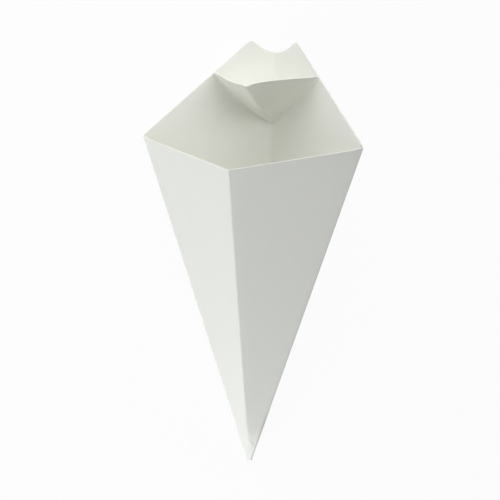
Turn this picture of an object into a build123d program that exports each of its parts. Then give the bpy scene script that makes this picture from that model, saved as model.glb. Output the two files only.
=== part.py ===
from build123d import *
import os
from math import acos, asin, atan, cos, radians, sin, sqrt, tan

os.makedirs("parts", exist_ok=True)

# A paper snack cone: one sheet of paperboard, folded into six equal wedge panels that meet at the tip.
# Two wedges make the inner back, two the front, and two the outer back, which is glued over the inner back.
# Driving dimensions, in millimetres and degrees.
BOARD = 0.5                 # thickness of the sheet
SIDE_EDGE = 209.0           # length of the two side folds, from the tip to the shoulders
PANEL_ANGLE = 22.0          # angle of each wedge panel at the tip
CREASE_ANGLE = 114.0        # angle inside the front and back creases, as the cone stands open
SHOULDER_ANGLE = 45.0       # slope of both back panels' shoulders on the flat sheet
SCALLOP_RADIUS = 22.5       # thumb scallop in the flap, centred where the shoulder lines would meet
CORNER_RADIUS = 3.5         # rounded corners beside the scallop
PEAK_RADIUS = 22.0          # rounded peak of the inner back, which becomes the rim of the pocket
POCKET_DEPTH = 56.0         # from that peak down to the lowest point of the pocket
POCKET_FOLD_ANGLE = 54.4    # between the back crease and each of the two folds under the pocket
TIP_TRIM = 3.0              # the die trims the sheet this far from the point where the creases meet
FREE_EDGE_INSET = 1.0       # how far the two cut side edges stop short of the side folds

panel = radians(PANEL_ANGLE)
half_crease = radians(CREASE_ANGLE) / 2
shoulder = radians(SHOULDER_ANGLE)
pocket_fold = radians(POCKET_FOLD_ANGLE)

# The standing cone has its tip at the origin and its axis along Z, and its front looks towards -Y.
# Axis, crease and side fold are the corners of a right-angled spherical triangle, whose long side is the panel.
side_lean = asin(sin(panel) * sin(half_crease))
crease_lean = atan(tan(panel) * cos(half_crease))
half_side = acos(tan(side_lean) / tan(panel))
FRONT = Vector(0, -sin(crease_lean), cos(crease_lean))
BACK = Vector(0, sin(crease_lean), cos(crease_lean))
LEFT = Vector(-sin(side_lean), 0, cos(side_lean))
RIGHT = Vector(sin(side_lean), 0, cos(side_lean))

# Heights on the flat sheet, up the middle crease from the tip.
front_rim = SIDE_EDGE * cos(panel)
shoulder_peak = front_rim + SIDE_EDGE * sin(panel) * tan(shoulder)
scallop_bottom = shoulder_peak - SCALLOP_RADIUS
rounded_peak = shoulder_peak - PEAK_RADIUS * (1 / cos(shoulder) - 1)
pocket_tip = rounded_peak - POCKET_DEPTH
pocket_end_x = (shoulder_peak - pocket_tip) / (1 / tan(pocket_fold) + tan(shoulder))
pocket_end_y = shoulder_peak - pocket_end_x * tan(shoulder)

# The outer back lies one board further out than the inner back, so the sheet reaches a little
# past the right-hand side fold before it turns back round it.
front_wrap = BOARD / sin(2 * half_side)
back_wrap = BOARD / tan(2 * half_side)


def side_top(centre_height, slope, widening):
    """Where a top edge that falls from the crease meets a side edge that lies beside the side fold."""
    reach = (widening + centre_height * sin(panel)) / (cos(panel) + tan(slope) * sin(panel))
    return reach, centre_height - reach * tan(slope)


def foot(widening):
    """Where the same side edge would meet the middle crease, near the tip."""
    return 0, -widening / sin(panel)


def front_half(widening):
    side = side_top(front_rim, 0, widening)
    outline = Polyline(foot(widening), side, (0, front_rim), close=True)
    return make_face(outline) - Circle(TIP_TRIM)


def outer_back_half(widening):
    side = side_top(shoulder_peak, shoulder, widening)
    outline = Polyline(foot(widening), side, (0, shoulder_peak), close=True)
    scallop = Pos(0, shoulder_peak) * Circle(SCALLOP_RADIUS)
    face = make_face(outline) - scallop
    corner = face.vertices().sort_by(Axis.Y)[-1]
    return fillet(corner, CORNER_RADIUS) - Circle(TIP_TRIM)


def inner_back_half(widening):
    """The inner back below the pocket folds."""
    side = side_top(shoulder_peak, shoulder, widening)
    outline = Polyline(foot(widening), side, (pocket_end_x, pocket_end_y), (0, pocket_tip), close=True)
    return make_face(outline) - Circle(TIP_TRIM)


def pocket_half(ridge_gap):
    """The inner back above the pocket folds, less a strip that its ridge's round bend takes up."""
    peak = CenterArc((0, rounded_peak - PEAK_RADIUS), PEAK_RADIUS, 90 - SHOULDER_ANGLE, SHOULDER_ANGLE)
    end = (pocket_end_x, pocket_end_y)
    tip = (0, pocket_tip)
    outline = [Line(tip, end), Line(end, peak @ 0), peak, Line(peak @ 1, tip)]
    strip = Pos(0, rounded_peak) * Rectangle(2 * ridge_gap, 2 * SIDE_EDGE)
    return make_face(outline) - strip


def mirrored(shape):
    return mirror(shape, about=Plane.YZ)


def outward(crease, side):
    """Outward normal of the panel between a crease and a side fold."""
    normal = crease.cross(side).normalized()
    return normal if normal.Z < 0 else normal * -1


def panel_plane(crease, side):
    """Inner face of a panel: origin at the tip, Y up its crease, X to the right, Z towards the front."""
    normal = outward(crease, side)
    to_front = normal if normal.Y < 0 else normal * -1
    return Plane(origin=(0, 0, 0), x_dir=crease.cross(to_front), z_dir=to_front)


def plate(plane, outline, near, far):
    """Board between two depths, measured along the plane's Z."""
    return extrude(plane.offset(near) * outline, amount=far - near)


def bend(start, end, normal_a, normal_b, radius):
    """Round of a fold: a sector about the fold line, from one panel's normal to the other's."""
    axis = normal_a.cross(normal_b)
    along = end - start
    arc = CenterArc((0, 0), radius, 0, normal_a.get_angle(normal_b))
    section = make_face([Line((0, 0), arc @ 0), arc, Line(arc @ 1, (0, 0))])
    length = along.length if axis.dot(along) > 0 else -along.length
    return extrude(Plane(origin=start, x_dir=normal_a, z_dir=axis) * section, amount=length)


front_left = panel_plane(FRONT, LEFT)
front_right = panel_plane(FRONT, RIGHT)
back_left = panel_plane(BACK, LEFT)
back_right = panel_plane(BACK, RIGHT)


def front():
    """Two front panels, their crease, and the left side fold that joins them to the inner back."""
    left = plate(front_left, mirrored(front_half(0)), 0, BOARD)
    right = plate(front_right, front_half(front_wrap), 0, BOARD)
    crease = bend(FRONT * TIP_TRIM, FRONT * front_rim, front_left.z_dir, front_right.z_dir, BOARD)
    side = bend(LEFT * TIP_TRIM, LEFT * SIDE_EDGE, front_left.z_dir, -back_left.z_dir, BOARD)
    return [left, right, crease, side]


def inner_back():
    """Inner back panels below the pocket; the right one ends in the cut edge inside the right fold."""
    left = plate(back_left, mirrored(inner_back_half(0)), 0, -BOARD)
    right = plate(back_right, inner_back_half(-FREE_EDGE_INSET), 0, -BOARD)
    crease = bend(BACK * TIP_TRIM, BACK * pocket_tip, -back_left.z_dir, -back_right.z_dir, BOARD)
    return [left, right, crease]


def outer_back():
    """Outer back with the scalloped flap; it turns in from the right fold and ends short of the left one."""
    left = plate(back_left, mirrored(outer_back_half(-FREE_EDGE_INSET)), -BOARD, -2 * BOARD)
    right = plate(back_right, outer_back_half(back_wrap), -BOARD, -2 * BOARD)
    ends = (BACK * TIP_TRIM, BACK * scallop_bottom, -back_left.z_dir, -back_right.z_dir)
    crease = bend(*ends, 2 * BOARD) - bend(*ends, BOARD)
    past_fold = (RIGHT * cos(panel) - FRONT).normalized() * front_wrap
    side_start = past_fold + RIGHT * sqrt(TIP_TRIM**2 - front_wrap**2)
    side_end = past_fold + RIGHT * SIDE_EDGE
    side = bend(side_start, side_end, front_right.z_dir, -back_right.z_dir, BOARD)
    return [left, right, crease, side]


def pocket():
    """The top of the inner back, popped inwards: a mirror image across the plane of its two folds."""
    tip = BACK * pocket_tip
    right_end = back_right.from_local_coords(Vector(pocket_end_x, pocket_end_y, 0))
    left_end = back_left.from_local_coords(Vector(-pocket_end_x, pocket_end_y, 0))
    across = (right_end - tip).cross(left_end - tip).normalized()

    def popped(plane):
        def reflect(direction):
            return direction - across * (2 * direction.dot(across))
        origin = across * (2 * tip.dot(across))
        x_dir = reflect(plane.x_dir)
        return Plane(origin=origin, x_dir=x_dir, z_dir=x_dir.cross(reflect(plane.y_dir)))

    wall_left = popped(back_left)
    wall_right = popped(back_right)
    half_turn = radians(wall_left.z_dir.get_angle(wall_right.z_dir)) / 2
    ridge_gap = BOARD * tan(half_turn)
    left = plate(wall_left, mirrored(pocket_half(ridge_gap)), 0, -BOARD)
    right = plate(wall_right, pocket_half(ridge_gap), 0, -BOARD)
    ridge_foot = pocket_tip + ridge_gap / tan(pocket_fold)
    ridge_start = wall_right.from_local_coords(Vector(ridge_gap, ridge_foot, -BOARD))
    ridge_end = wall_right.from_local_coords(Vector(ridge_gap, rounded_peak, -BOARD))
    ridge = bend(ridge_start, ridge_end, wall_left.z_dir, wall_right.z_dir, BOARD)
    left_fold = bend(tip, left_end, -back_left.z_dir, -wall_left.z_dir, BOARD)
    right_fold = bend(tip, right_end, -back_right.z_dir, -wall_right.z_dir, BOARD)
    return [left, right, ridge, left_fold, right_fold]


def lying(cone):
    """The cone as it comes to rest: on its outer back-left panel, tip towards -Y, mouth towards +Y."""
    up = back_left.z_dir
    x_dir = Vector(0, 0, 1).cross(up).normalized()
    table = Plane(origin=up * (-2 * BOARD), x_dir=x_dir, z_dir=up)
    rested = table.to_local_coords(cone)
    box = rested.bounding_box()
    return Pos(-box.center().X, -box.center().Y, -box.min.Z) * rested


standing = Part() + [*front(), *inner_back(), *outer_back(), *pocket()]
folded_cone = lying(standing.clean())
export_step(folded_cone, "parts/folded_cone.step")
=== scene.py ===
from collections import namedtuple
from math import acos, asin, atan, atan2, ceil, cos, pi, radians, sin, sqrt, tan

import bmesh
import bpy
from mathutils import Matrix, Vector


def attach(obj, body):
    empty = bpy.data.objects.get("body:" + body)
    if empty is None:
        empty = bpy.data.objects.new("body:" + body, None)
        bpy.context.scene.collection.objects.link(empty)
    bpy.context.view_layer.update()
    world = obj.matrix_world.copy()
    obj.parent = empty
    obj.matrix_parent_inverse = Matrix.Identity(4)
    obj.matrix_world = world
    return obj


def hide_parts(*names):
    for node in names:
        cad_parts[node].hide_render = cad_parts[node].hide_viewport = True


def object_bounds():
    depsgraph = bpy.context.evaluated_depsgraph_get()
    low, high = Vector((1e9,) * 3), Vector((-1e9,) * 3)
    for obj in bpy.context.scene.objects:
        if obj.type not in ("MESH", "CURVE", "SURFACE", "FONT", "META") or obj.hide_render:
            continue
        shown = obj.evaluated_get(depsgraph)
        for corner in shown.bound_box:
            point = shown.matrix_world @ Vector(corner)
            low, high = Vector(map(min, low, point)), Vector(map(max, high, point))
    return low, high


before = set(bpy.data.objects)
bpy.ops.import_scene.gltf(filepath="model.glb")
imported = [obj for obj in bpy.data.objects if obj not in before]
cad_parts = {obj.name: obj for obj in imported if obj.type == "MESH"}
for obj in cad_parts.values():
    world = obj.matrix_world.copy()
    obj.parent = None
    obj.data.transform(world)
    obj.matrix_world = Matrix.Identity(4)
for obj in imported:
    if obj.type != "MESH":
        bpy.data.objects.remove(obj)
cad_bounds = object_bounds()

# A paper snack cone, cut from one sheet of paperboard, folded into six wedge panels and glued.
# The sheet is cut flat here too, then folded, and lies on the table on its outer back-left panel.
MM = 0.001                      # the sheet is worked in millimetres, and laid in the scene in metres

# Sizes of the sheet, the same as in the part's source.
BOARD = 0.5
SIDE_EDGE = 209.0
PANEL = radians(22.0)
HALF_CREASE = radians(114.0) / 2
SHOULDER = radians(45.0)
SCALLOP_RADIUS = 22.5
CORNER_RADIUS = 3.5
PEAK_RADIUS = 22.0
POCKET_DEPTH = 56.0
POCKET_FOLD = radians(54.4)
TIP_TRIM = 3.0
FREE_EDGE_INSET = 1.0

# Rounds of the folds. Each is half as wide as its bend, measured along the board from the sharp fold.
CREASE_ROUND = {"rim": 0.5, "pocket": 2.0, "scallop": 2.3}      # sharp in front and soft at the back
SIDE_ROUND = 1.2
RIDGE_ROUND = 1.1
POCKET_ROUND = 2.0
ROUND_AT_TIP_SHARE = 0.3        # near the tip a round is at most this share of the distance to it
ROUND_AT_POCKET_SHARE = 0.25    # the same beside the lowest point of the pocket

# How the panels bend between their folds.
FLARE = {"left": 1.5, "right": 1.3}             # how far the front rims stand out beside the side folds
FLARE_DEPTH = 17.0              # how far down from the rims that starts
FLARE_HELD_SHARE = 0.07         # the side folds stay straight, and hold this share of each panel with them
FOLD_SAG = {"left": 1.9, "right": 1.6}          # how far the folds under the pocket sag in their middles
SAG_FADE = 14.0                 # the sag fades out over this much of the walls
WALL_BOW = {"left": 2.4, "right": -0.6}         # how far the pocket's walls bow forwards
RIDGE_BOW = 0.4                 # how far the pocket's ridge bows to the left
LIP_CURL = 2.0                  # at the ridge the pocket's lip curls back by this much
LIP_SHIFT = 1.7                 # and leans to the left by this much
LIP_DEPTH = 14.0                # how far down from the lip that starts
LIP_REACH = {"left": 12.0, "right": 16.0}       # how far from the ridge it fades out

# How the tip has been pressed.
SOFTENED_TIP = 28.0             # from here to the tip the front crease flattens little by little
SOFTENED_SHARE = 0.6
PRESSED_TIP = 12.5              # up to here the front is pressed flat
PRESSED_SHARE = 0.85
PRESS_STEP = 2.2                # over which the front crease sinks into that flat
PRESS_SLANT_SHARE = 0.7         # how steeply the step falls towards the right
WRINKLE_TOP = 15.9              # a wrinkle starts here on the front crease
WRINKLE_SLANT_SHARE = 1.3       # and falls towards the right this steeply
WRINKLE_LENGTH = 3.2
WRINKLE_HALF_WIDTH = 0.7
WRINKLE_RISE = 0.35

# Spacing of the rows of vertices.
ROW_STEP = 8.0
TIP_ROW_STEP = 0.4
TIP_ROWS_END = 25.0
POCKET_STEP = 2.5
FOLD_STEP = 0.7
RIM_ROWS = 6
ROUND_ROW_SHARES = (1 / 3, 2 / 3, 1)
FAN_ROWS = 10
ARC_STEP = 1.0                  # arcs are cut in steps of this length or this turn, whichever is less
ARC_TURN = radians(10)
SNAP = 0.004                    # points this close to a row lie on it
SEAM = 0.02                     # points this close on two half panels are sewn together

UV_NAME = "flat_sheet"
UV_SPAN = 600.0                 # the texture square's side: the flat sheet fits in it

# Looks of the board. A real fibre is only some 0.03 wide and 1 to 2 long, too fine to show from here,
# so the fibres are drawn wider than they are, at their real length, with the grain up the flat sheet.
FIBRE_WIDTH = 0.25
FIBRE_LENGTH = 2.0
FIBRE_DETAIL = 2.0
CLOUD_SIZE = 9.0                # the faint cloudiness of board held to the light
CLOUD_DETAIL = 3.0
COATED_RELIEF = 0.002           # how high the fibres stand
UNCOATED_RELIEF = 0.006
TORN_RELIEF = 0.02
COATED_ROUGHNESS = 0.5
UNCOATED_ROUGHNESS = 0.8
TORN_ROUGHNESS = 0.9
BOARD_IOR = 1.5                 # of the clay and of the fibres alike
MIX_FACTOR, MIX_A, MIX_B, MIX_RESULT = 0, 6, 7, 2      # a colour mix node's sockets

# Camera: measured about the standing cone, as the photograph shows it.
LENS = 100.0
SENSOR = 36.0
CAMERA_TURN = radians(16.7)     # from the front of the cone round to its right
CAMERA_ELEVATION = radians(14.0)
CAMERA_DISTANCE = 811.5
CAMERA_ROLL = radians(0.26)
AIM_HEIGHT = 134.2              # up the cone's axis

# Softboxes, each aimed at the middle of the lying cone or at its tip. The turn runs from +X round
# towards +Y, the rise is above the table, both in degrees, and the rest is in metres and watts.
Lamp = namedtuple("Lamp", "name aim turn rise distance width height watts")
LAMPS = [
    Lamp("mouth_softbox", "middle", 68, 15, 1.2, 1.5, 0.6, 6.4),
    Lamp("mouth_left_softbox", "middle", 120, 12, 1.2, 0.6, 0.5, 2.0),
    Lamp("over_mouth_softbox", "middle", 100, 35, 1.2, 0.6, 0.5, 2.3),
    Lamp("overhead_softbox", "middle", 45, 65, 1.2, 0.7, 0.7, 3.6),
    Lamp("left_softbox", "tip", 160, 20, 0.55, 0.55, 0.35, 0.67),
    Lamp("tip_softbox", "tip", 240, 15, 0.28, 0.22, 0.22, 0.48),
    Lamp("low_left_softbox", "middle", 215, 30, 1.2, 0.7, 0.5, 2.45),
]
AROUND_STRENGTH = 0.12          # the plain white studio around
WHITE = (1, 1, 1, 1)
FLOOR_REACH = 3.0               # half the floor's width
FLOOR_GLOW_SHARE = 0.93         # how far the floor is washed out to white in the view itself

# Axis, crease and side fold are the corners of a right-angled spherical triangle.
side_lean = asin(sin(PANEL) * sin(HALF_CREASE))
crease_lean = atan(tan(PANEL) * cos(HALF_CREASE))
half_side = acos(tan(side_lean) / tan(PANEL))
FRONT = Vector((0, -sin(crease_lean), cos(crease_lean)))
BACK = Vector((0, sin(crease_lean), cos(crease_lean)))
LEFT = Vector((-sin(side_lean), 0, cos(side_lean)))
RIGHT = Vector((sin(side_lean), 0, cos(side_lean)))
LEFTWARDS = Vector((-1, 0, 0))

# Heights on the flat sheet, up the middle crease from the tip.
front_rim = SIDE_EDGE * cos(PANEL)
shoulder_peak = front_rim + SIDE_EDGE * sin(PANEL) * tan(SHOULDER)
rounded_peak = shoulder_peak - PEAK_RADIUS * (1 / cos(SHOULDER) - 1)
pocket_tip = rounded_peak - POCKET_DEPTH

# How long the folds under the pocket are, and how high the pocket's ridge ends above them.
pocket_fold_length = (shoulder_peak - pocket_tip) / (cos(POCKET_FOLD) + sin(POCKET_FOLD) * tan(SHOULDER))
pocket_height = POCKET_DEPTH * sin(POCKET_FOLD)

# The outer back lies one board further out, so its folds lie past those of the inner back.
front_wrap = BOARD / sin(2 * half_side)
back_wrap = BOARD / tan(2 * half_side)
outer_crease_wrap = BOARD / tan(HALF_CREASE)

# The six half panels, in the order that they have on the flat sheet. past_side and past_crease say
# how far the side edge and the crease lie past those of the innermost layer.
Half = namedtuple("Half", "name crease side outline layer past_side past_crease folded")
HALVES = [
    Half("inner_back_right", BACK, RIGHT, "pocket", 0, -FREE_EDGE_INSET, 0, False),
    Half("inner_back_left", BACK, LEFT, "pocket", 0, 0, 0, True),
    Half("front_left", FRONT, LEFT, "rim", 0, 0, 0, True),
    Half("front_right", FRONT, RIGHT, "rim", 0, front_wrap, 0, True),
    Half("outer_back_right", BACK, RIGHT, "scallop", 1, back_wrap, outer_crease_wrap, True),
    Half("outer_back_left", BACK, LEFT, "scallop", 1, -FREE_EDGE_INSET, outer_crease_wrap, False),
]


def hand(half):
    """The hand that a half panel lies on, as the front is seen."""
    return "left" if half.side is LEFT else "right"


def beside_side(distance, past):
    """A point this far up the side fold from the tip, and this far past the fold."""
    along = Vector((sin(PANEL), cos(PANEL)))
    across = Vector((cos(PANEL), -sin(PANEL)))
    return along * distance + across * past


def outward(crease, side):
    """Outward normal of the panel between a crease and a side fold."""
    normal = crease.cross(side).normalized()
    return normal if normal.z < 0 else -normal


def line_to(sheet, last, point):
    """Runs the outline on straight to a point."""
    new = sheet.verts.new((point[0], point[1], 0))
    sheet.edges.new((last, new))
    return new


def arc_to(sheet, last, centre, turn):
    """Runs the outline on round an arc, anticlockwise where turn is above zero."""
    radius = (last.co.xy - Vector(centre)).length
    swept = bmesh.ops.spin(
        sheet, geom=[last], cent=(centre[0], centre[1], 0), axis=(0, 0, 1), angle=turn,
        steps=ceil(abs(turn) * max(radius / ARC_STEP, 1 / ARC_TURN)), space=Matrix.Identity(4),
    )
    return swept["geom_last"][0]


def shoulder_corner(half):
    """Where the shoulder starts: on the side fold, or on a cut edge that stops short of it."""
    if half.folded:
        return beside_side(SIDE_EDGE, half.past_side)
    reach = (half.past_side + shoulder_peak * sin(PANEL)) / (cos(PANEL) + sin(PANEL) * tan(SHOULDER))
    return Vector((reach, shoulder_peak - reach * tan(SHOULDER)))


def rim_outline(sheet, half, last):
    """The front's straight rim."""
    last = line_to(sheet, last, beside_side(SIDE_EDGE, half.past_side))
    return line_to(sheet, last, (0, front_rim))


def pocket_outline(sheet, half, last):
    """A shoulder and the rounded peak."""
    centre = Vector((0, rounded_peak - PEAK_RADIUS))
    last = line_to(sheet, last, shoulder_corner(half))
    last = line_to(sheet, last, centre + Vector((sin(SHOULDER), cos(SHOULDER))) * PEAK_RADIUS)
    return arc_to(sheet, last, centre, SHOULDER)


def scallop_outline(sheet, half, last):
    """A shoulder, a rounded corner and the thumb scallop."""
    peak = Vector((0, shoulder_peak))
    down_shoulder = Vector((cos(SHOULDER), -sin(SHOULDER)))
    under_shoulder = Vector((-sin(SHOULDER), -cos(SHOULDER)))
    reach = SCALLOP_RADIUS + CORNER_RADIUS
    along = sqrt(reach ** 2 - CORNER_RADIUS ** 2)
    corner = peak + down_shoulder * along + under_shoulder * CORNER_RADIUS
    last = line_to(sheet, last, shoulder_corner(half))
    last = line_to(sheet, last, peak + down_shoulder * along)
    last = arc_to(sheet, last, corner, acos(CORNER_RADIUS / reach))
    from_below = pi / 2 - SHOULDER - asin(CORNER_RADIUS / reach)
    return arc_to(sheet, last, peak, -from_below - asin(half.past_crease / SCALLOP_RADIUS))


OUTLINES = {"rim": rim_outline, "pocket": pocket_outline, "scallop": scallop_outline}


def cut_half(half):
    """One half panel, flat: X away from its crease, Y up the crease from the tip."""
    sheet = bmesh.new()
    start = Vector((-half.past_crease, sqrt(TIP_TRIM ** 2 - half.past_crease ** 2)))
    end = beside_side(sqrt(TIP_TRIM ** 2 - half.past_side ** 2), half.past_side)
    first = sheet.verts.new((start.x, start.y, 0))
    last = arc_to(sheet, first, (0, 0), atan2(end.y, end.x) - atan2(start.y, start.x))
    last = OUTLINES[half.outline](sheet, half, last)
    sheet.edges.new((last, first))
    bmesh.ops.contextual_create(sheet, geom=sheet.edges[:])
    sheet.normal_update()
    if sheet.faces[:][0].normal.z < 0:
        bmesh.ops.reverse_faces(sheet, faces=sheet.faces[:])
    return sheet


def slice_along(sheet, start, end, lowest=0):
    """Cuts the flat sheet's faces along the line through two points, from a certain row upwards."""
    along = end - start
    faces = [face for face in sheet.faces if min(vert.co.y for vert in face.verts) > lowest - SNAP]
    edges = {edge for face in faces for edge in face.edges}
    verts = {vert for face in faces for vert in face.verts}
    bmesh.ops.bisect_plane(
        sheet, geom=[*verts, *edges, *faces], dist=SNAP,
        plane_co=(start.x, start.y, 0), plane_no=(along.y, -along.x, 0),
    )


def across_rows(half):
    """Distances up the crease at which rows run across the panel, close together near tip and rim."""
    tip_rows = round((TIP_ROWS_END - TIP_TRIM) / TIP_ROW_STEP)
    near_tip = [TIP_TRIM + (TIP_ROWS_END - TIP_TRIM) * n / tip_rows for n in range(1, tip_rows + 1)]
    near_rim = [front_rim - FLARE_DEPTH * n / RIM_ROWS for n in range(RIM_ROWS + 1)]
    plain = [TIP_ROWS_END + ROW_STEP * n for n in range(1, ceil(shoulder_peak / ROW_STEP))]
    top = {"rim": front_rim, "pocket": pocket_tip, "scallop": shoulder_peak}[half.outline]
    return near_tip + near_rim + [row for row in plain if row < min(near_rim) or front_rim < row < top]


def slice_pocket(sheet):
    """Rows along the folds under the pocket: close together where those fold, and wider above."""
    up_fold = Vector((sin(POCKET_FOLD), cos(POCKET_FOLD)))
    across_fold = Vector((-cos(POCKET_FOLD), sin(POCKET_FOLD)))
    lowest = -max(FOLD_SAG.values()) - POCKET_ROUND
    rounds = range(int((POCKET_ROUND - lowest) / FOLD_STEP) + 1)
    above = range(1, int(pocket_height / POCKET_STEP))
    near_fold = [POCKET_ROUND - FOLD_STEP * n for n in rounds]
    for step in near_fold + [POCKET_ROUND + POCKET_STEP * n for n in above]:
        start = Vector((0, pocket_tip)) + across_fold * step
        slice_along(sheet, start, start + up_fold * POCKET_DEPTH)


def slice_rows(sheet, half):
    """Rows across the panel, beside each fold, and fanned out from the tip."""
    for row in across_rows(half):
        start = Vector((-half.past_crease, row))
        slice_along(sheet, start, beside_side(row / cos(PANEL), half.past_side))
    for share in ROUND_ROW_SHARES:
        beside_crease = CREASE_ROUND[half.outline] * share - half.past_crease
        start = Vector((beside_crease, 0))
        slice_along(sheet, start, start + Vector((0, SIDE_EDGE)), TIP_ROWS_END)
        if half.folded:
            inside = half.past_side - SIDE_ROUND * share
            slice_along(sheet, beside_side(0, inside), beside_side(SIDE_EDGE, inside), TIP_ROWS_END)
    for n in range(1, FAN_ROWS):
        turn = PANEL * n / FAN_ROWS
        slice_along(sheet, Vector((0, 0)), Vector((sin(turn), cos(turn))) * SIDE_EDGE)
    if half.outline == "pocket":
        slice_pocket(sheet)


def smooth(share):
    """From 0 to 1 in a soft S."""
    share = min(max(share, 0), 1)
    return share * share * (3 - 2 * share)


def bow(share):
    """0 at both ends and 1 in the middle, along a parabola."""
    return 4 * share * (1 - share)


def flat_bow(share):
    """The same, but steeper at the ends and nearly level between them."""
    return 1 - (2 * share - 1) ** 4


def above_pocket_fold(point):
    """How far a point of the flat inner back lies above the fold under the pocket."""
    return (point.y - pocket_tip) * sin(POCKET_FOLD) - point.x * cos(POCKET_FOLD)


def draw_in(width, distance, half_angle):
    """How far a round of this half width draws the board in, at this distance from the sharp fold."""
    near = width - distance
    return cos(half_angle) * near * near / (2 * width) if near > 0 else 0


def crease_round(half, flat):
    """Half width of the round of the middle crease, at a point of the flat half panel."""
    width = CREASE_ROUND[half.outline]
    if half.outline == "pocket":
        from_pocket = flat.y - pocket_tip
        width = RIDGE_ROUND if from_pocket > 0 else width
        width = min(width, ROUND_AT_POCKET_SHARE * abs(from_pocket) + SNAP)
    return min(width, ROUND_AT_TIP_SHARE * flat.y)


def rim_flare(half, flat):
    """How far the front stands out near its rim, which it does most beside the side fold."""
    depth_share = max(1 - (front_rim - flat.y) / FLARE_DEPTH, 0)
    across_share = flat.x / (flat.y * tan(PANEL))
    held = across_share * smooth((1 - across_share) / FLARE_HELD_SHARE)
    return FLARE[hand(half)] * depth_share ** 2 * held


def wall_bow(half, flat):
    """How far a wall of the pocket bows forwards."""
    across_share = flat.x / max((flat.y - pocket_tip) * tan(POCKET_FOLD), SNAP)
    return WALL_BOW[hand(half)] * bow(across_share) * smooth(above_pocket_fold(flat) / pocket_height)


def bend_flat(half, flat):
    """Where a point of the flat half panel goes before it is folded. Z points out of the cone."""
    moved = flat.copy()
    from_crease = flat.x + half.past_crease
    into_crease = Vector((cos(HALF_CREASE), 0, -sin(HALF_CREASE)))
    moved += into_crease * draw_in(crease_round(half, flat), from_crease, HALF_CREASE)
    from_side = half.past_side - (flat.x * cos(PANEL) - flat.y * sin(PANEL))
    if half.folded:
        width = min(SIDE_ROUND, ROUND_AT_TIP_SHARE * flat.y)
        into_side = Vector((-cos(PANEL) * cos(half_side), sin(PANEL) * cos(half_side), -sin(half_side)))
        moved += into_side * draw_in(width, from_side, half_side)
    if half.outline == "rim":
        moved.z += rim_flare(half, flat)
    if half.outline == "pocket" and above_pocket_fold(flat) > 0:
        moved.z += wall_bow(half, flat)
    return moved


def below_lip(flat):
    """How far a point of the flat inner back lies below its rounded peak and its shoulder."""
    from_centre = flat.xy - Vector((0, rounded_peak - PEAK_RADIUS))
    across_shoulder = Vector((sin(SHOULDER), cos(SHOULDER)))
    if atan2(from_centre.x, from_centre.y) < SHOULDER:
        return PEAK_RADIUS - from_centre.length
    return PEAK_RADIUS - from_centre.dot(across_shoulder)


def fold_sag(half, flat):
    """How far below its straight line the fold under the pocket runs, beside a point of the flat sheet.
    It sags nowhere on the ridge, where both walls are sewn together."""
    along = flat.x * sin(POCKET_FOLD) + (flat.y - pocket_tip) * cos(POCKET_FOLD)
    share = min(max(along / pocket_fold_length, 0), 1)
    from_ridge = smooth(flat.x / max(along * sin(POCKET_FOLD), SNAP))
    return FOLD_SAG[hand(half)] * flat_bow(share) * from_ridge


def ridge_bow(flat):
    """How the pocket's ridge bows to the left, and takes its walls with it."""
    along = min((flat.y - pocket_tip) / POCKET_DEPTH, 1)
    held = smooth(2 * above_pocket_fold(flat) / pocket_height)
    return LEFTWARDS * RIDGE_BOW * bow(along) * held


def lip_curl(half, flat, forwards):
    """How the pocket's lip curls back and leans to the left, near the ridge."""
    near_lip = max(1 - below_lip(flat) / LIP_DEPTH, 0)
    near_ridge = smooth(1 - flat.x / LIP_REACH[hand(half)])
    backwards = (BACK - forwards).normalized()
    return (backwards * LIP_CURL + LEFTWARDS * LIP_SHIFT) * near_lip ** 2 * near_ridge


def away_from_crease(crease, side):
    """Direction in a panel square to its crease, towards its side fold."""
    return (side - crease * side.dot(crease)).normalized()


def pocket_fold_normal():
    """Square to the plane of the two folds under the pocket, and towards the front."""
    right_fold = away_from_crease(BACK, RIGHT) * sin(POCKET_FOLD) + BACK * cos(POCKET_FOLD)
    left_fold = away_from_crease(BACK, LEFT) * sin(POCKET_FOLD) + BACK * cos(POCKET_FOLD)
    normal = right_fold.cross(left_fold).normalized()
    return normal if normal.y < 0 else -normal


def pop_pocket(half, sheet, flat):
    """Mirrors the top of the inner back across the plane of its two folds, and bends the board there."""
    tip = BACK * pocket_tip
    forwards = pocket_fold_normal()
    up_panel = half.crease * sin(POCKET_FOLD) - away_from_crease(half.crease, half.side) * cos(POCKET_FOLD)
    turn_share = abs(up_panel.dot(forwards))
    for vert in sheet.verts:
        above = above_pocket_fold(flat[vert])
        sag = fold_sag(half, flat[vert])
        if above > SNAP:
            vert.co -= forwards * (2 * (vert.co - tip).dot(forwards))
            vert.co += ridge_bow(flat[vert]) + lip_curl(half, flat[vert], forwards)
            lifted = sag * (1 - smooth(above / SAG_FADE))
        else:
            lifted = max(sag + above, 0)
        from_tip = (flat[vert].xy - Vector((0, pocket_tip))).length
        width = min(POCKET_ROUND, ROUND_AT_POCKET_SHARE * from_tip + SNAP)
        vert.co += forwards * turn_share * (2 * lifted + draw_in(width, abs(above + sag), 0))


def panel_matrix(half):
    """From the flat half panel to the standing cone: X away from the crease, Y up it, Z outwards."""
    normal = outward(half.crease, half.side)
    columns = (away_from_crease(half.crease, half.side), half.crease, normal)
    return Matrix.Translation(normal * BOARD * half.layer) @ Matrix(columns).transposed().to_4x4()


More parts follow.
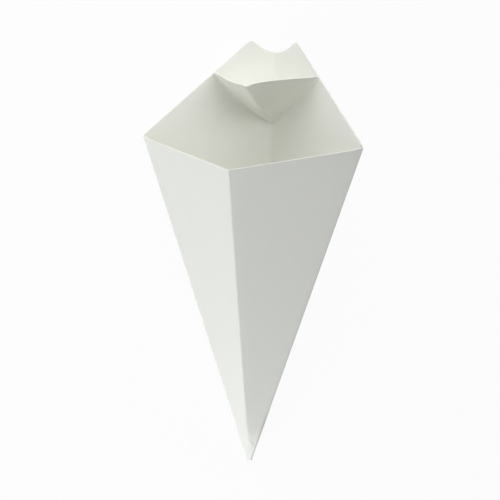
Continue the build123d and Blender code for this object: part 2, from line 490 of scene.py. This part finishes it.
def press_tip(sheet):
    """The very tip is pressed: the front crease sinks into a flat, below a slanting wrinkle, which
    rises and ends over a millimetre."""
    for vert in sheet.verts:
        if vert.co.y >= 0:
            continue
        softened = smooth((SOFTENED_TIP - vert.co.z) / (SOFTENED_TIP - PRESSED_TIP))
        edge = PRESSED_TIP - PRESS_SLANT_SHARE * vert.co.x
        pressed = smooth((edge + PRESS_STEP - vert.co.z) / PRESS_STEP)
        share = SOFTENED_SHARE * softened * (1 - pressed) + PRESSED_SHARE * pressed
        below = WRINKLE_TOP - WRINKLE_SLANT_SHARE * vert.co.x - vert.co.z
        from_wrinkle = abs(below) * cos(atan(WRINKLE_SLANT_SHARE)) / WRINKLE_HALF_WIDTH
        held = smooth(vert.co.x) * smooth(WRINKLE_LENGTH - vert.co.x)
        vert.co.y *= 1 - share
        vert.co.y -= WRINKLE_RISE * smooth(1 - from_wrinkle) * held


def lay_out(number, point):
    """Where a point of a half panel lies on the flat sheet, as a texture coordinate. Two half panels
    share each crease: the first lies to its left there, and the second to its right."""
    pair, second = divmod(number, 2)
    crease_turn = PANEL * (2 * pair + 1 - len(HALVES) / 2)
    from_crease = atan2(point.x, point.y)
    turn = crease_turn + (from_crease if second else -from_crease)
    reach = point.xy.length / UV_SPAN
    return 0.5 + reach * sin(turn), reach * cos(turn)


def fold_half(number, half):
    """Cuts one half panel, bends it and folds it into its place on the standing cone."""
    sheet = cut_half(half)
    slice_rows(sheet, half)
    flat = {vert: vert.co.copy() for vert in sheet.verts}
    layout = sheet.loops.layers.uv.new(UV_NAME)
    for face in sheet.faces:
        for loop in face.loops:
            loop[layout].uv = lay_out(number, flat[loop.vert])
    for vert in sheet.verts:
        vert.co = bend_flat(half, flat[vert])
    matrix = panel_matrix(half)
    bmesh.ops.transform(sheet, matrix=matrix, verts=sheet.verts)
    if half.outline == "pocket":
        pop_pocket(half, sheet, flat)
    if matrix.determinant() < 0:
        bmesh.ops.reverse_faces(sheet, faces=sheet.faces[:])
    return sheet


def lying_matrix():
    """The cone as it comes to rest on its outer back-left panel: tip towards -Y, mouth towards +Y."""
    up = -outward(BACK, LEFT)
    x_dir = Vector((0, 0, 1)).cross(up).normalized()
    turned = Matrix((x_dir, up.cross(x_dir), up)).to_4x4()
    return Matrix.Scale(MM, 4) @ Matrix.Translation((0, 0, 2 * BOARD)) @ turned


def folded_sheet():
    """All six half panels, sewn along their folds, on the standing cone."""
    whole = bmesh.new()
    for number, half in enumerate(HALVES):
        panel = fold_half(number, half)
        held = bpy.data.meshes.new(half.name)
        panel.to_mesh(held)
        panel.free()
        whole.from_mesh(held)
        bpy.data.meshes.remove(held)
    bmesh.ops.remove_doubles(whole, verts=whole.verts, dist=SEAM)
    return whole


def centring(sheet, lying):
    """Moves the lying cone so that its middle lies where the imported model's box has it."""
    sheet.normal_update()
    outer = [lying @ (vert.co + vert.normal * BOARD) for vert in sheet.verts]
    inner = [lying @ vert.co for vert in sheet.verts]
    points = outer + inner
    low, high = cad_bounds
    shift = []
    for axis in range(2):
        reach = [point[axis] for point in points]
        shift.append((low[axis] + high[axis] - min(reach) - max(reach)) / 2)
    return Matrix.Translation((shift[0], shift[1], 0))


def hex_colour(text):
    """An sRGB hex colour as linear red, green, blue and alpha, by the standard's own curve."""
    shares = [int(text[place:place + 2], 16) / 255 for place in (0, 2, 4)]
    return (*[c / 12.92 if c <= 0.04045 else ((c + 0.055) / 1.055) ** 2.4 for c in shares], 1)


def add_node(tree, kind, settings=None, values=None, links=None):
    """Adds one node with its settings, its sockets' values and its links."""
    made = tree.nodes.new(kind)
    for name, value in (settings or {}).items():
        setattr(made, name, value)
    for name, value in (values or {}).items():
        made.inputs[name].default_value = value
    for name, output in (links or {}).items():
        tree.links.new(output, made.inputs[name])
    return made


def new_material(name):
    made = bpy.data.materials.new(name)
    made.use_nodes = True
    made.node_tree.nodes.clear()
    return made, made.node_tree


def board_shader(tree, light, dark, tint, fibres, roughness, relief):
    """Board of two close tones: one noise mixes them, and one raises the fibres a little."""
    tones = {MIX_A: hex_colour(light), MIX_B: hex_colour(dark)}
    tone = add_node(tree, "ShaderNodeMix", {"data_type": "RGBA"}, tones, {MIX_FACTOR: tint.outputs["Fac"]})
    raised = add_node(tree, "ShaderNodeBump", {}, {"Strength": 1.0, "Distance": relief * MM},
                      {"Height": fibres.outputs["Fac"]})
    shader = add_node(tree, "ShaderNodeBsdfPrincipled", {}, {"Roughness": roughness, "IOR": BOARD_IOR},
                      {"Base Color": tone.outputs[MIX_RESULT], "Normal": raised.outputs["Normal"]})
    add_node(tree, "ShaderNodeOutputMaterial", {}, {}, {"Surface": shader.outputs["BSDF"]})


def board_face(name, light, dark, roughness, relief):
    """One face of the board: clouds of fibre tint it, and single fibres stand up from it."""
    made, tree = new_material(name)
    sheet = add_node(tree, "ShaderNodeUVMap", {"uv_map": UV_NAME})
    cloud_scale = {"Scale": UV_SPAN / CLOUD_SIZE, "Detail": CLOUD_DETAIL}
    clouds = add_node(tree, "ShaderNodeTexNoise", {}, cloud_scale, {"Vector": sheet.outputs["UV"]})
    fibres_per_span = (UV_SPAN / FIBRE_WIDTH, UV_SPAN / FIBRE_LENGTH, 1)
    along_grain = add_node(tree, "ShaderNodeMapping", {}, {"Scale": fibres_per_span},
                           {"Vector": sheet.outputs["UV"]})
    fibres = add_node(tree, "ShaderNodeTexNoise", {}, {"Scale": 1.0, "Detail": FIBRE_DETAIL},
                      {"Vector": along_grain.outputs["Vector"]})
    board_shader(tree, light, dark, clouds, fibres, roughness, relief)
    return made


def coated_outside():
    """Bleached paperboard's printing side. China clay is bladed on wet and pressed smooth between rolls:
    the eye sees an even neutral white with a faint eggshell sheen, and hardly any fibre."""
    return board_face("clay_coated_bleached_board_outside", "F1F3EE", "EFF1EB",
                      COATED_ROUGHNESS, COATED_RELIEF)


def uncoated_inside():
    """The same board's back, left as it came off the paper machine: the eye sees a slightly creamier,
    quite matt white, which turns warm where it is lit by light from its own folds."""
    return board_face("uncoated_bleached_board_inside", "F2F3EC", "EFF0E8",
                      UNCOATED_ROUGHNESS, UNCOATED_RELIEF)


def die_cut_edge():
    """The board's raw core, where the steel rule of the die has sheared it: pale, torn fibres across
    the thickness give the thin bright line along the rims."""
    made, tree = new_material("die_cut_bleached_board_edge")
    place = add_node(tree, "ShaderNodeTexCoord")
    fibre_scale = {"Scale": 1 / (FIBRE_WIDTH * MM), "Detail": FIBRE_DETAIL}
    torn = add_node(tree, "ShaderNodeTexNoise", {}, fibre_scale, {"Vector": place.outputs["Object"]})
    board_shader(tree, "F3F2EC", "E9E8E0", torn, torn, TORN_ROUGHNESS, TORN_RELIEF)
    return made


def make_cone():
    """The cone, which lies on the table. Gives the matrix that laid it there."""
    sheet = folded_sheet()
    lying = lying_matrix()
    lying = centring(sheet, lying) @ lying
    press_tip(sheet)
    bmesh.ops.transform(sheet, matrix=lying, verts=sheet.verts)
    for face in sheet.faces:
        face.smooth = True
    for edge in sheet.edges:
        edge.smooth = not edge.is_boundary
    mesh = bpy.data.meshes.new("paperboard_cone")
    sheet.to_mesh(mesh)
    sheet.free()
    cone = bpy.data.objects.new("paperboard_cone", mesh)
    bpy.context.scene.collection.objects.link(cone)
    for made in (coated_outside(), uncoated_inside(), die_cut_edge()):
        mesh.materials.append(made)
    wall = cone.modifiers.new("board", "SOLIDIFY")
    wall.thickness = BOARD * MM
    wall.offset = 1
    wall.use_even_offset = True
    wall.material_offset = 1
    wall.material_offset_rim = 2
    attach(cone, "root")
    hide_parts("folded_cone")
    return lying


def make_camera(lying):
    """Stands to the cone as the photograph's camera did, and looks across its axis."""
    aim = Vector((0, 0, AIM_HEIGHT))
    level = cos(CAMERA_ELEVATION)
    back = Vector((sin(CAMERA_TURN) * level, -cos(CAMERA_TURN) * level, sin(CAMERA_ELEVATION)))
    data = bpy.data.cameras.new("camera")
    data.lens = LENS
    data.sensor_width = SENSOR
    camera = bpy.data.objects.new("camera", data)
    bpy.context.scene.collection.objects.link(camera)
    turned = (-back).to_track_quat("-Z", "Y").to_matrix().to_4x4() @ Matrix.Rotation(CAMERA_ROLL, 4, "Z")
    camera.matrix_world = lying @ Matrix.Translation(aim + back * CAMERA_DISTANCE) @ turned
    bpy.context.scene.camera = camera


def seen_directly(tree):
    """1 for the rays that show a thing in the view, in a gloss or through glass, and 0 for its light."""
    path = add_node(tree, "ShaderNodeLightPath")
    seen = path.outputs["Is Camera Ray"]
    for ray in ("Is Glossy Ray", "Is Transmission Ray"):
        either = {0: seen, 1: path.outputs[ray]}
        seen = add_node(tree, "ShaderNodeMath", {"operation": "MAXIMUM"}, {}, either).outputs[0]
    return seen


def make_floor():
    """A plain white table top, washed out to white in the view but for a trace of the cone's shadow."""
    sheet = bmesh.new()
    bmesh.ops.create_grid(sheet, x_segments=1, y_segments=1, size=FLOOR_REACH)
    mesh = bpy.data.meshes.new("floor")
    sheet.to_mesh(mesh)
    sheet.free()
    floor = bpy.data.objects.new("floor", mesh)
    bpy.context.scene.collection.objects.link(floor)
    made, tree = new_material("white_studio_floor")
    share = add_node(tree, "ShaderNodeMath", {"operation": "MULTIPLY"}, {1: FLOOR_GLOW_SHARE},
                     {0: seen_directly(tree)})
    plain = add_node(tree, "ShaderNodeBsdfDiffuse", {}, {"Color": hex_colour("F4F4F4")})
    white = add_node(tree, "ShaderNodeEmission", {}, {"Strength": 1.0})
    mixed = add_node(tree, "ShaderNodeMixShader", {}, {},
                     {0: share.outputs[0], 1: plain.outputs[0], 2: white.outputs[0]})
    add_node(tree, "ShaderNodeOutputMaterial", {}, {}, {"Surface": mixed.outputs[0]})
    mesh.materials.append(made)


def add_lamp(lamp, apex):
    """A softbox that looks at the cone's tip or at its middle, and doesn't show in the view itself."""
    aim = {"tip": apex, "middle": Vector()}[lamp.aim]
    turn, rise = radians(lamp.turn), radians(lamp.rise)
    towards = Vector((cos(turn) * cos(rise), sin(turn) * cos(rise), sin(rise)))
    data = bpy.data.lights.new(lamp.name, "AREA")
    data.shape = "RECTANGLE"
    data.size = lamp.width
    data.size_y = lamp.height
    data.energy = lamp.watts
    softbox = bpy.data.objects.new(lamp.name, data)
    bpy.context.scene.collection.objects.link(softbox)
    turned = towards.to_track_quat("Z", "Y").to_matrix().to_4x4()
    softbox.matrix_world = Matrix.Translation(aim + towards * lamp.distance) @ turned
    softbox.visible_camera = False


def make_lights(lying):
    """The softboxes, and the white studio around them."""
    apex = lying @ Vector()
    for lamp in LAMPS:
        add_lamp(lamp, apex)
    world = bpy.data.worlds.new("studio")
    world.use_nodes = True
    bpy.context.scene.world = world
    tree = world.node_tree
    tree.nodes.clear()
    around = add_node(tree, "ShaderNodeBackground", {}, {"Color": WHITE, "Strength": AROUND_STRENGTH})
    behind = add_node(tree, "ShaderNodeBackground", {}, {"Color": WHITE, "Strength": 1.0})
    mixed = add_node(tree, "ShaderNodeMixShader", {}, {},
                     {0: seen_directly(tree), 1: around.outputs[0], 2: behind.outputs[0]})
    add_node(tree, "ShaderNodeOutputWorld", {}, {}, {"Surface": mixed.outputs[0]})


lying = make_cone()
make_camera(lying)
make_floor()
make_lights(lying)

bpy.context.scene.view_settings.view_transform = "Standard"
